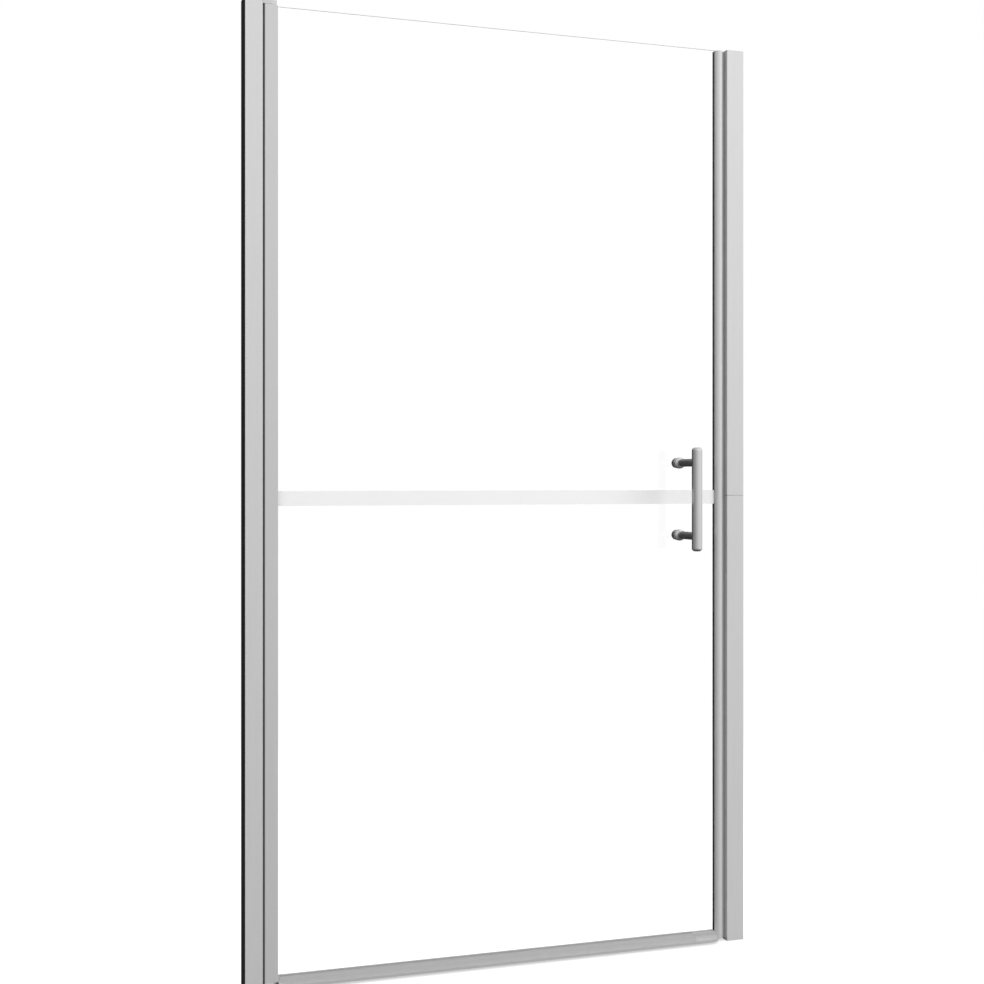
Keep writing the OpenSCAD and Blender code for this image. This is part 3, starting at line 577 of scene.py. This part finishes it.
# %% Ground edge and frosted film
edge_colour = (0.98, 0.99, 0.985)
edge_glass, edge_tree, edge_shader = new_material("ground_edge_glass", edge_colour, 0.35)
feed(edge_tree, edge_shader, {"Transmission Weight": 0.97, "IOR": glass_index})
pebbled(edge_tree, edge_shader, edge_colour, 3000.0, 0.01 * MM)

film_colour = (0.95, 0.95, 0.95)
film_alpha, film_alpha_in_metal = 0.93, 0.25
film, film_tree, film_shader = new_material("frosted_film", film_colour, 0.7)
in_metal = add_node(film_tree, "ShaderNodeLightPath").outputs["Is Glossy Ray"]
feed(film_tree, film_shader, {
    "Specular IOR Level": 0.2,
    "Alpha": between(film_tree, in_metal, film_alpha, film_alpha_in_metal)})
pebbled(film_tree, film_shader, film_colour, 4000.0, 0.01 * MM)
print("edge and film ready")

# %% [markdown]
# ## Dress the solid pieces
#
# Each rigid solid keeps its shape and only takes its finish. The list below
# goes through the door finish by finish, so it is easy to see what is where.
# The glass, the soft strips and the screws are in it too, but finer pieces
# stand in for them further down.

# %% Assign the finishes
finish_of = {
    post_aluminium: ["hinge_wall_channel", "hinge_jamb", "hinge_top_cap",
                     "strike_profile_lower", "strike_profile_upper", "strike_top_cap",
                     "closing_profile"],
    seam_shade_aluminium: ["strike_wall_channel"],
    stile_aluminium: ["hinge_stile"],
    rail_aluminium: ["bottom_rail"],
    block_plastic: ["top_pivot_block", "bottom_pivot_block", "stile_plug_top",
                    "stile_plug_bottom", "closing_plug_top", "closing_plug_bottom"],
    seam_shade_plastic: ["strike_joint_spigot"],
    cap_plastic: ["rail_cap_hinge_side", "rail_cap_strike_side"],
    bearing_plastic: ["top_pivot_bush", "bottom_pivot_bush"],
    screw_steel: ["pivot_pin_top", "pivot_pin_bottom", "handle_studs", "jamb_lock_screws",
                  "pivot_block_screws", "strike_lock_screws"],
    wall_foam: ["hinge_wall_gasket", "strike_wall_gasket"],
    gap_light_bulb_rubber: ["hinge_seal"],
    seal_rubber: ["closing_glazing_gasket"],
    glazing_rubber: ["stile_glazing_gasket", "rail_glazing_gasket", "rail_wiper_seal"],
    cleft_light_magnet_rubber: ["door_magnet_strip", "strike_magnet_strip"],
    handle_metal: ["handle_bar", "handle_bar_caps", "handle_posts", "handle_rosettes",
                   "handle_inner_knobs"],
    clear_plastic: ["handle_washers", "handle_hole_sleeves"],
    leaf_glass: ["glass_panel"],
    film: ["frosted_band"],
}
for material, names in finish_of.items():
    for name in names:
        slots = nodes[name].data.materials
        slots.clear()
        slots.append(material)
dressed = sum(len(names) for names in finish_of.values())
print("dressed pieces:", dressed, "of", len(nodes))

# %% [markdown]
# ## Plates with eased edges
#
# The glass leaf and the foam strips behind the posts are the same kind of
# shape: a flat plate with round holes, whose edges are eased a little. On real
# toughened glass all edges are ground and arrissed before the glass goes into
# the furnace, and that narrow bevel is what shows as a thin grey line along
# the top of the door. One function builds such a plate from loops: the outline
# and each hole get a front ring, two rings for the edge and a back ring. The
# others join two rings, shade a mesh, make an object of a shape, and tell the
# frame which body a piece rides on and which solids it stands for.

# %% Plate function
ring_steps, plate_sharp_angle = 40, 35


def rectangle(u0, u1, v0, v1, inset):
    return [(u0 + inset, v0 + inset), (u1 - inset, v0 + inset),
            (u1 - inset, v1 - inset), (u0 + inset, v1 - inset)]


def circle(u, v, radius):
    angles = [2 * math.pi * step / ring_steps for step in range(ring_steps)]
    return [(u + radius * math.cos(a), v + radius * math.sin(a)) for a in angles]


def bridge(shape, first, second):
    """Joins two rings with as many points by a band of faces."""
    faces = []
    for i in range(len(first)):
        j = (i + 1) % len(first)
        faces.append(shape.faces.new((first[i], first[j], second[j], second[i])))
    return faces


def shade(mesh, smooth_angle):
    """Smooth shading, but sharp edges where two faces meet at more than the angle."""
    mesh.shade_smooth()
    mesh.set_sharp_from_angle(angle=math.radians(smooth_angle))


def eased_plate(name, corners, holes, thick, bevel, place, materials):
    """Plate with holes. place turns (u, v, depth) into a point of the frame."""
    shape = bmesh.new()
    u0, u1, v0, v1 = corners
    loops = [lambda inset: rectangle(u0, u1, v0, v1, inset)]
    loops += [lambda inset, hole=hole: circle(hole[0], hole[1], hole[2] + inset)
              for hole in holes]
    front_edges, back_edges = [], []
    for loop in loops:
        rings = []
        for inset, depth in ((bevel, 0), (0, bevel), (0, thick - bevel), (bevel, thick)):
            rings.append([shape.verts.new(place(u, v, depth)) for u, v in loop(inset)])
        for first, second in zip(rings, rings[1:]):
            for face in bridge(shape, first, second):
                face.material_index = len(materials) - 1
        for ring, edges in ((rings[0], front_edges), (rings[-1], back_edges)):
            edges += [shape.edges.get((ring[i], ring[(i + 1) % len(ring)]))
                      for i in range(len(ring))]
    for edges in (front_edges, back_edges):
        bmesh.ops.triangle_fill(shape, edges=edges, use_beauty=True)
    return mesh_object(name, shape, materials)


def mesh_object(name, shape, materials, smooth_angle=plate_sharp_angle):
    bmesh.ops.recalc_face_normals(shape, faces=shape.faces)
    mesh = bpy.data.meshes.new(name)
    shape.to_mesh(mesh)
    shape.free()
    for material in materials:
        mesh.materials.append(material)
    shade(mesh, smooth_angle)
    return new_object(name, mesh)


def hand_over(piece, body, slot, *replaced):
    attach(piece, body)
    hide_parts(*replaced)


print("plate function ready, ring steps:", ring_steps)

# %% [markdown]
# The glass leaf takes its size from the solid, and its two holes from the
# sleeves of the handle.

# %% Glass leaf
glass_low, glass_high = low("glass_panel"), high("glass_panel")
sleeve_low, sleeve_high = low("handle_hole_sleeves"), high("handle_hole_sleeves")
hole_r = (sleeve_high.x - sleeve_low.x) / 2
hole_x = (sleeve_high.x + sleeve_low.x) / 2
glass_holes = [(hole_x, sleeve_low.z + hole_r, hole_r), (hole_x, sleeve_high.z - hole_r, hole_r)]
glass_bevel = 0.4 * MM

glass_leaf = eased_plate(
    "glass_leaf", (glass_low.x, glass_high.x, glass_low.z, glass_high.z), glass_holes,
    glass_thick, glass_bevel, lambda u, v, depth: (u, glass_low.y + depth, v),
    [leaf_glass, edge_glass])
hand_over(glass_leaf, "door", "clear_glass", "glass_panel")
print("glass leaf:", len(glass_leaf.data.polygons), "faces, holes at", glass_holes)

# %% [markdown]
# The foam strips lie flat between the posts and the walls. They are punched
# where the wall screws pass, a little wider than the holes of the channels, so
# the heights of the holes come from the mounts in the record.

# %% Foam strips at the walls
foam_clearance = 0.5 * MM
foam_bevel = 0.3 * MM
mounts = {mount["name"]: mount for mount in frame["record"]["mounts"]}


def screw_heights(side):
    heights = []
    for pair in ("outer", "inner"):
        mount = mounts[side + "_wall_screws_" + pair]
        half = mount["dims"]["spacing_y_mm"] / 2 * MM
        heights += [mount["pos_m"][2] - half, mount["pos_m"][2] + half]
    return sorted(heights)


for side in ("hinge", "strike"):
    node = side + "_wall_gasket"
    start, end = low(node), high(node)
    radius = mounts[side + "_wall_screws_outer"]["dims"]["hole_r_mm"] * MM + foam_clearance
    foam = eased_plate(
        side + "_foam_strip", (start.y, end.y, start.z, end.z),
        [(0, height, radius) for height in screw_heights(side)], end.x - start.x, foam_bevel,
        lambda u, v, depth, left=start.x: (left + depth, u, v), [wall_foam])
    hand_over(foam, "frame", "black_foam", node)
    print(foam.name, "holes at", [round(height, 3) for height in screw_heights(side)])

# %% [markdown]
# ## Soft strips that follow a line
#
# Seals and glazing gaskets are extruded rubber, so each is one outline that
# runs along a line. That is a rule, and Geometry Nodes states it well: the
# outline is the object's own loop of edges, the tree lays a line of the right
# length, lets it wander by a fraction of a millimetre as pushed-in rubber
# does, and runs the outline along it. The same tree serves uprights and
# lengthwise strips, because the finished strip can be turned at the end.

# %% Tree that runs an outline along a line


def start_tree(name, inputs, output):
    """A geometry tree with inputs of a given type and value.

    Returns the tree, the keys and the sockets of its inputs, and its output.
    """
    tree = bpy.data.node_groups.new(name, "GeometryNodeTree")
    keys = {}
    for label, (kind, value) in inputs.items():
        socket = tree.interface.new_socket(
            label, in_out="INPUT", socket_type="NodeSocket" + kind)
        if value is not None:
            socket.default_value = value
        keys[label] = socket.identifier
    tree.interface.new_socket(output, in_out="OUTPUT", socket_type="NodeSocketGeometry")
    return tree, keys, add_node(tree, "NodeGroupInput").outputs, add_node(tree, "NodeGroupOutput")


run_tree, run_keys, given, result = start_tree("run_outline", {
    "Outline": ("Geometry", None), "Start": ("Float", 0.0), "End": ("Float", 1.0),
    "Rings": ("Int", 60), "Wander": ("Float", 0.0001), "Turn": ("Vector", (0, 0, 0)),
    "Material": ("Material", None)}, "Strip")
drifts_per_metre = 9.0

line_start = add_node(run_tree, "ShaderNodeCombineXYZ", {"Z": given["Start"]})
line_end = add_node(run_tree, "ShaderNodeCombineXYZ", {"Z": given["End"]})
line = add_node(run_tree, "GeometryNodeCurvePrimitiveLine", {
    "Start": line_start.outputs[0], "End": line_end.outputs[0]})
rings = add_node(run_tree, "GeometryNodeResampleCurve", {
    "Curve": line.outputs[0], "Count": given["Rings"]})

here = add_node(run_tree, "GeometryNodeInputPosition").outputs[0]
drift = add_node(run_tree, "ShaderNodeTexNoise", {"Vector": here, "Scale": drifts_per_metre})
drift_middle = vector_maths(run_tree, "SUBTRACT", {
    0: drift.outputs["Color"], 1: (0.5, 0.5, 0.5)})
drift_flat = vector_maths(run_tree, "MULTIPLY", {0: drift_middle.outputs[0], 1: (1, 1, 0)})
wandering = add_node(run_tree, "GeometryNodeSetPosition", {
    "Geometry": rings.outputs[0],
    "Offset": scaled(run_tree, drift_flat.outputs[0], given["Wander"])})
upright_normal = add_node(run_tree, "GeometryNodeSetCurveNormal", {
    "Curve": wandering.outputs[0], "Normal": (1, 0, 0)}, mode="FREE")

outline = add_node(run_tree, "GeometryNodeMeshToCurve", {"Mesh": given["Outline"]})
strip = add_node(run_tree, "GeometryNodeCurveToMesh", {
    "Curve": upright_normal.outputs[0], "Profile Curve": outline.outputs[0],
    "Fill Caps": True})
turn_angles = add_node(run_tree, "FunctionNodeEulerToRotation", {0: given["Turn"]})
turned = add_node(run_tree, "GeometryNodeTransform", {
    "Geometry": strip.outputs[0], "Rotation": turn_angles.outputs[0]})
real = add_node(run_tree, "GeometryNodeRealizeInstances", {0: turned.outputs[0]})
coated = add_node(run_tree, "GeometryNodeSetMaterial", {
    "Geometry": real.outputs[0], "Material": given["Material"]})
feed(run_tree, result, {0: coated.outputs[0]})
print("strip tree:", len(run_tree.nodes), "nodes")

# %% [markdown]
# Three helpers go with the tree. The first softens the corners of an outline,
# because rubber has no sharp ones: each corner becomes a short curve between
# its two sides. The second gives a tree to a piece and keeps the plain mesh
# that comes out, with points joined that lie closer than a thousandth of a
# millimetre. The third makes a strip from its outline, ends and material.

# %% Helpers for the strips
corner_steps = 4
longest_share = 0.45
join_within = 0.001 * MM
strip_rings, strip_sharp_angle = 90, 40
upright = (0, 0, 0)
lengthways = (math.radians(90), 0, math.radians(90))


def softened(corners, radius):
    """The outline with each corner replaced by a curve that starts radius before it."""
    points = []
    count = len(corners)
    for i, corner in enumerate(corners):
        here = Vector(corner)
        back = Vector(corners[i - 1]) - here
        on = Vector(corners[(i + 1) % count]) - here
        first = here + back.normalized() * min(radius, longest_share * back.length)
        last = here + on.normalized() * min(radius, longest_share * on.length)
        for step in range(corner_steps + 1):
            t = step / corner_steps
            points.append((1 - t) ** 2 * first + 2 * t * (1 - t) * here + t ** 2 * last)
    return points


def grow(piece, tree, keys, values, smooth_angle):
    modifier = piece.modifiers.new(tree.name, "NODES")
    modifier.node_group = tree
    for label, value in values.items():
        modifier[keys[label]] = value
    bpy.context.view_layer.update()
    seen = piece.evaluated_get(bpy.context.evaluated_depsgraph_get())
    mesh = bpy.data.meshes.new_from_object(seen)
    piece.modifiers.clear()
    shape = bmesh.new()
    shape.from_mesh(mesh)
    bmesh.ops.remove_doubles(shape, verts=shape.verts, dist=join_within)
    bmesh.ops.recalc_face_normals(shape, faces=shape.faces)
    shape.to_mesh(mesh)
    shape.free()
    shade(mesh, smooth_angle)
    piece.data = mesh


def rubber_strip(name, outline_points, start, end, turn, material, wander=0.06 * MM):
    mesh = bpy.data.meshes.new(name)
    count = len(outline_points)
    mesh.from_pydata([(x, y, 0) for x, y in outline_points],
                     [(i, (i + 1) % count) for i in range(count)], [])
    piece = new_object(name, mesh)
    grow(piece, run_tree, run_keys, {
        "Start": start, "End": end, "Rings": strip_rings, "Wander": wander, "Turn": turn,
        "Material": material}, strip_sharp_angle)
    return piece


print("corner steps:", corner_steps)

# %% [markdown]
# The hinge seal is a soft D-shaped bulb on the left face of the stile. Its
# outside is an arc about the pivot axis, because only then does the gap to the
# jamb stay the same while the door swings. Three shallow grooves run along it,
# as on real bulb seals, and leave ribs that do the sealing.

# %% Hinge seal
seal_low, seal_high = low("hinge_seal"), high("hinge_seal")
seal_face = low("hinge_stile").x
seal_r = pivot.x - seal_low.x
seal_angle = math.asin(seal_high.y / seal_r)
rib_count, rib_deep, arc_steps = 4, 0.25 * MM, 48


def ribbed_arc():
    points = []
    for step in range(arc_steps + 1):
        share = step / arc_steps
        angle = seal_angle * (1 - 2 * share)
        groove = rib_deep * (0.5 + 0.5 * math.cos(2 * math.pi * rib_count * share)) ** 4
        reach = seal_r - groove
        points.append(Vector((pivot.x - reach * math.cos(angle), reach * math.sin(angle))))
    return points


seal_outline = ribbed_arc()
seal_outline += [Vector((seal_face, -seal_high.y)), Vector((seal_face, seal_high.y))]
hinge_bulb = rubber_strip("hinge_bulb_seal", seal_outline, seal_low.z, seal_high.z, upright,
                          gap_light_bulb_rubber, wander=0.02 * MM)
hand_over(hinge_bulb, "door", "black_rubber", "hinge_seal")
print("hinge seal radius:", round(seal_r / MM, 2), "mm, faces:", len(hinge_bulb.data.polygons))

# %% [markdown]
# The glazing gaskets are channels of U shape that hold the glass off the
# metal. In the closing profile the rear leg is longer and shows through the
# glass as the dark line beside the round profile; in the stile both legs stop
# inside the pocket. One outline function covers both, with the two mouths as
# arguments, and the legs end in soft lips that press on the glass.

# %% Upright glazing gaskets
lip_soft, mouth_gap = 0.5 * MM, 0.1 * MM
glass_front, glass_back = glass_low.y, glass_high.y


def channel_outline(back_x, front_mouth, rear_mouth, half, slot_x):
    return softened([(front_mouth, -half), (back_x, -half), (back_x, half), (rear_mouth, half),
                     (rear_mouth, glass_back), (slot_x, glass_back), (slot_x, glass_front),
                     (front_mouth, glass_front)], lip_soft)


closing_low, closing_high = low("closing_glazing_gasket"), high("closing_glazing_gasket")
closing_front = low("closing_profile").x + mouth_gap
closing_strip = rubber_strip(
    "closing_edge_gasket",
    channel_outline(closing_high.x, closing_front, closing_low.x, closing_high.y, glass_high.x),
    closing_low.z, closing_high.z, upright, seal_rubber, wander=0.08 * MM)
hand_over(closing_strip, "door", "black_rubber", "closing_glazing_gasket")

stile_low, stile_high = low("stile_glazing_gasket"), high("stile_glazing_gasket")
stile_strip = rubber_strip(
    "stile_edge_gasket",
    channel_outline(stile_low.x, stile_high.x, stile_high.x, stile_high.y, glass_low.x),
    stile_low.z, stile_high.z, upright, glazing_rubber)
hand_over(stile_strip, "door", "grey_rubber", "stile_glazing_gasket")
print("gaskets:", closing_strip.name, stile_strip.name)

# %% [markdown]
# Under the glass the gasket is wider at its foot, where it fills the rail's
# pocket, and narrow at the mouth between the two lips of the rail.

# %% Rail gasket
rail_low, rail_high = low("rail_glazing_gasket"), high("rail_glazing_gasket")
rail_wall = high("bottom_rail").y - rail_high.y
neck = stile_high.y
shoulder = rail_high.z - rail_wall
rail_outline = softened(
    [(-rail_high.y, rail_low.z), (rail_high.y, rail_low.z), (rail_high.y, shoulder),
     (neck, shoulder), (neck, rail_high.z), (glass_back, rail_high.z), (glass_back, glass_low.z),
     (glass_front, glass_low.z), (glass_front, rail_high.z), (-neck, rail_high.z),
     (-neck, shoulder), (-rail_high.y, shoulder)], lip_soft)
rail_strip = rubber_strip("rail_edge_gasket", rail_outline, rail_low.x, rail_high.x, lengthways,
                          glazing_rubber)
hand_over(rail_strip, "door", "grey_rubber", "rail_glazing_gasket")
print("rail gasket wall:", round(rail_wall / MM, 2), "mm")

# %% [markdown]
# The wiper hangs in a groove of the rail. Two thin blades spread a little
# towards the tray, taper to soft tips and keep clear of it, so that they only
# stop splashes.

# %% Wiper
wiper_low, wiper_high = low("rail_wiper_seal"), high("rail_wiper_seal")
foot_half = wiper_high.y
mouth_half = foot_half / 2
foot_z = low("bottom_rail").z + rail_wall
web_z = low("bottom_rail").z
tip_z = wiper_low.z
tip_out, tip_thick = 2.9 * MM, 0.4 * MM
root_thick, root_drop, wiper_soft = 0.9 * MM, 0.8 * MM, 0.3 * MM
half_wiper = [(mouth_half - root_thick, web_z - root_drop), (tip_out - tip_thick, tip_z),
              (tip_out, tip_z), (mouth_half, web_z), (mouth_half, foot_z),
              (foot_half, foot_z), (foot_half, wiper_high.z)]
wiper_outline = softened(half_wiper + [(-x, z) for x, z in reversed(half_wiper)], wiper_soft)
wiper = rubber_strip("rail_wiper_blades", wiper_outline, wiper_low.x, wiper_high.x, lengthways,
                     glazing_rubber, wander=0.1 * MM)
hand_over(wiper, "door", "grey_rubber", "rail_wiper_seal")
print("wiper faces:", len(wiper.data.polygons))

# %% [markdown]
# ## Screws behind the posts
#
# The jamb, the strike post and the pivot blocks are locked by pan head screws
# from inside the shower. Each has a cross recess, which a revolved shape can't
# give, so the rings of the head go over from a circle to the outline of the
# cross. The table gives the round rings as shares of the head's radius and
# height. The arms and the depth of the cross are such shares too, and its
# outline shrinks to recess_floor at the bottom. A second tree puts one screw on
# every place and turns each by its own angle, because no fitter lines the
# recesses up.

# %% One screw
screw_steps, screw_sharp_angle = 48, 30
head_r = (high("jamb_lock_screws").x - low("jamb_lock_screws").x) / 2
head_h = high("jamb_lock_screws").y - high("hinge_wall_channel").y
shank_r, shank_deep = 2.0 * MM, 2.0 * MM
head_rings = ((1.0, 0.0), (1.0, 0.25), (0.95, 0.55), (0.82, 0.82), (0.66, 0.97))
arm_long, arm_wide, recess_deep, recess_floor = 0.58, 0.16, 0.75, 0.75
smallest_sine = 1e-6


def cross_reach(angle):
    """Distance from the middle to the edge of the cross, as a share of the head's radius."""
    folded = abs((angle + math.pi / 4) % (math.pi / 2) - math.pi / 4)
    along = arm_long / math.cos(folded)
    across = arm_wide / max(math.sin(folded), smallest_sine)
    return min(along, max(across, arm_wide * math.sqrt(2)))


def screw_ring(shape, radius_at, depth):
    ring = []
    for step in range(screw_steps):
        angle = 2 * math.pi * step / screw_steps
        reach = radius_at(angle)
        ring.append(shape.verts.new((reach * math.cos(angle), depth, reach * math.sin(angle))))
    return ring


def round_ring(radius):
    return lambda angle: radius


def cross_ring(share):
    return lambda angle: share * head_r * cross_reach(angle)


def build_screw():
    """Screw along Y. Its head sits on y = 0 and points to +Y."""
    shape = bmesh.new()
    rings = [screw_ring(shape, round_ring(shank_r), depth) for depth in (-shank_deep, 0)]
    rings += [screw_ring(shape, round_ring(wide * head_r), tall * head_h)
              for wide, tall in head_rings]
    rings += [screw_ring(shape, cross_ring(1.0), head_h),
              screw_ring(shape, cross_ring(recess_floor), (1 - recess_deep) * head_h)]
    for first, second in zip(rings, rings[1:]):
        bridge(shape, first, second)
    for ring in (rings[0], rings[-1]):
        shape.faces.new(ring)
    return mesh_object("screw_pattern", shape, [screw_steel], screw_sharp_angle)


screw_pattern = build_screw()
print("screw head:", round(2 * head_r / MM, 1), "mm wide,", round(head_h / MM, 1), "mm high")

# %% [markdown]
# The places of the screws are read from the solids: the vertices of each set of
# screws fall into groups by height, and the middle of a group is one screw.

# %% Tree that repeats the screw, and the three sets
repeat_tree, repeat_keys, asked, made = start_tree("repeat_screw", {
    "Places": ("Geometry", None), "Screw": ("Object", None), "Seed": ("Int", 3),
    "Material": ("Material", None)}, "Screws")
pattern = add_node(repeat_tree, "GeometryNodeObjectInfo", {"Object": asked["Screw"]})
spin = add_node(repeat_tree, "FunctionNodeRandomValue", {"Seed": asked["Seed"]},
                data_type="FLOAT")
# The node has these sockets once for every type of value; only those in use are enabled.
spin_low, spin_high = [i for i in spin.inputs if i.name in ("Min", "Max") and i.enabled]
spin_low.default_value, spin_high.default_value = 0.0, 2 * math.pi
spin_value = [o for o in spin.outputs if o.enabled][0]
about_y = add_node(repeat_tree, "ShaderNodeCombineXYZ", {"Y": spin_value})
spin_turn = add_node(repeat_tree, "FunctionNodeEulerToRotation", {0: about_y.outputs[0]})
copies = add_node(repeat_tree, "GeometryNodeInstanceOnPoints", {
    "Points": asked["Places"], "Instance": pattern.outputs["Geometry"],
    "Rotation": spin_turn.outputs[0]})
real_copies = add_node(repeat_tree, "GeometryNodeRealizeInstances", {0: copies.outputs[0]})
steel = add_node(repeat_tree, "GeometryNodeSetMaterial", {
    "Geometry": real_copies.outputs[0], "Material": asked["Material"]})
feed(repeat_tree, made, {0: steel.outputs[0]})

group_gap = 20 * MM


def group_middles(node):
    """Middle heights of the separate pieces of a node."""
    heights = sorted(vertex.co.z for vertex in nodes[node].data.vertices)
    groups = [[heights[0]]]
    for height in heights[1:]:
        if height - groups[-1][-1] > group_gap:
            groups.append([])
        groups[-1].append(height)
    return [(group[0] + group[-1]) / 2 for group in groups]


for seed, node in enumerate(("jamb_lock_screws", "pivot_block_screws", "strike_lock_screws")):
    centre = middle(node)
    seat = high(node).y - head_h
    mesh = bpy.data.meshes.new(node + "_crossed")
    mesh.from_pydata([(centre.x, seat, z) for z in group_middles(node)], [], [])
    screws = new_object(node + "_crossed", mesh)
    grow(screws, repeat_tree, repeat_keys, {
        "Screw": screw_pattern, "Seed": seed, "Material": screw_steel}, screw_sharp_angle)
    hand_over(screws, "frame", "stainless_steel", node)
    print(screws.name, "at", [round(z, 3) for z in group_middles(node)])
bpy.data.objects.remove(screw_pattern)
